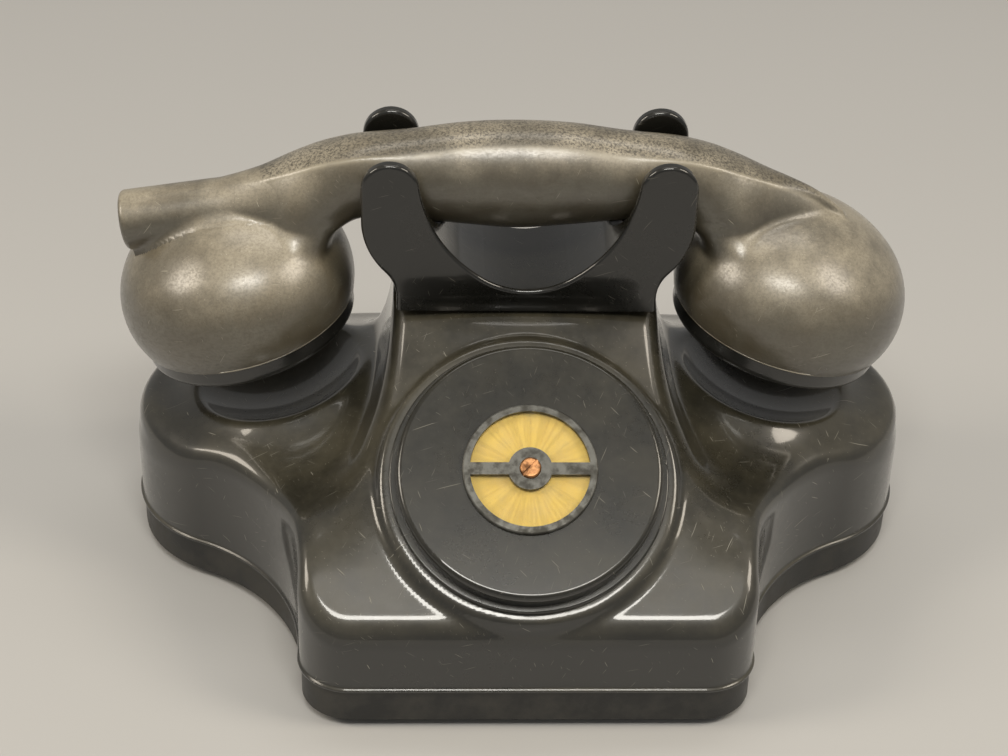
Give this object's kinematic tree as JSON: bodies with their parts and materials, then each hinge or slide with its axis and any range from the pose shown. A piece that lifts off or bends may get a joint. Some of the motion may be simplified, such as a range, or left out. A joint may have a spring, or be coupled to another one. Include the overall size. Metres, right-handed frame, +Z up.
{
  "type": "desk telephone",
  "caption": "Vintage desk telephone with winged base, dial blank, raised cradle and a one-piece handset with round ends.",
  "frame": {"origin": "on the desk, under the middle of the telephone's overall box", "axes": "+X to the right of someone facing the dial, +Y to the back, +Z up"},
  "size_m": [0.2535, 0.151, 0.1511],
  "materials": {
    "black_moulding": "polished black moulding, worn and scuffed",
    "handset_moulding": "black moulding faded to a dull brown",
    "painted_steel": "black painted steel",
    "rubber": "black rubber",
    "steel": "zinc plated steel",
    "brass": "dull brass",
    "card": "yellow card",
    "clear_film": "clear film",
    "grey_metal": "dark grey metal",
    "copper_winding": "enamelled copper wire",
    "fibre_board": "brown fibre board",
    "iron": "soft iron",
    "bell_metal": "nickel plated"
  },
  "bodies": {
    "base": {"housing": "black_moulding", "base_pan": "painted_steel", "rubber_feet": "rubber", "pan_screws": "steel", "handset_cord_grommet": "rubber", "line_cord_grommet": "rubber", "dial_ring": "black_moulding", "dial_blank": "black_moulding", "number_card": "card", "card_window": "clear_film", "card_holder": "grey_metal", "centre_screw": "brass", "dial_clamp_bar": "steel", "dial_nut": "steel", "cradle": "black_moulding", "cradle_screws": "steel", "plunger_spring_left": "steel", "plunger_spring_right": "steel", "hookswitch_bracket": "steel", "lever_pin": "steel", "bracket_screws": "steel", "contact_leaves": "brass", "contact_block": "fibre_board", "ringer_frame": "steel", "ringer_screws": "steel", "ringer_coil_left": "copper_winding", "ringer_coil_right": "copper_winding", "coil_cores": "iron", "armature_pin": "steel", "gong_left": "bell_metal", "gong_right": "bell_metal", "gong_posts": "brass", "gong_screws": "steel", "induction_coil": "copper_winding", "induction_coil_ends": "fibre_board", "induction_core": "iron", "condenser": "painted_steel", "condenser_strap": "steel", "terminal_board": "fibre_board", "board_standoffs": "brass", "board_screws": "brass"},
    "handset": {"handset": "handset_moulding", "mouthpiece": "black_moulding", "receiver_cap": "black_moulding", "transmitter_unit": "grey_metal", "receiver_unit": "grey_metal"},
    "plunger_left": {"plunger_left": "black_moulding", "plunger_clip_left": "steel"},
    "plunger_right": {"plunger_right": "black_moulding", "plunger_clip_right": "steel"},
    "switch_lever": {"hookswitch_lever": "steel"},
    "clapper": {"clapper": "steel"}
  },
  "joints": [
    {"name": "handset_lift", "type": "slide", "parent": "base", "child": "handset", "axis": [0, 0, 1], "range_m": [0, 0.12]},
    {"name": "plunger_left_travel", "type": "slide", "parent": "base", "child": "plunger_left", "axis": [0, 0, 1], "range_m": [0, 0.0046]},
    {"name": "plunger_right_travel", "type": "slide", "parent": "base", "child": "plunger_right", "axis": [0, 0, 1], "range_m": [0, 0.0046]},
    {"name": "switch_lever_swing", "type": "hinge", "parent": "base", "child": "switch_lever", "pos_m": [0, 0.006, 0.082], "axis": [1, 0, 0], "range_deg": [0, 10.6]},
    {"name": "clapper_swing", "type": "hinge", "parent": "base", "child": "clapper", "pos_m": [0, 0.0104, 0.024], "axis": [0, 0, 1], "range_deg": [-2.7, 2.7]}
  ],
  "couplings": [
    {"joint": "plunger_left_travel", "follows": "handset_lift", "ratio": 0.038},
    {"joint": "plunger_right_travel", "follows": "handset_lift", "ratio": 0.038},
    {"joint": "switch_lever_swing", "follows": "handset_lift", "rad_per_m": 1.53}
  ]
}
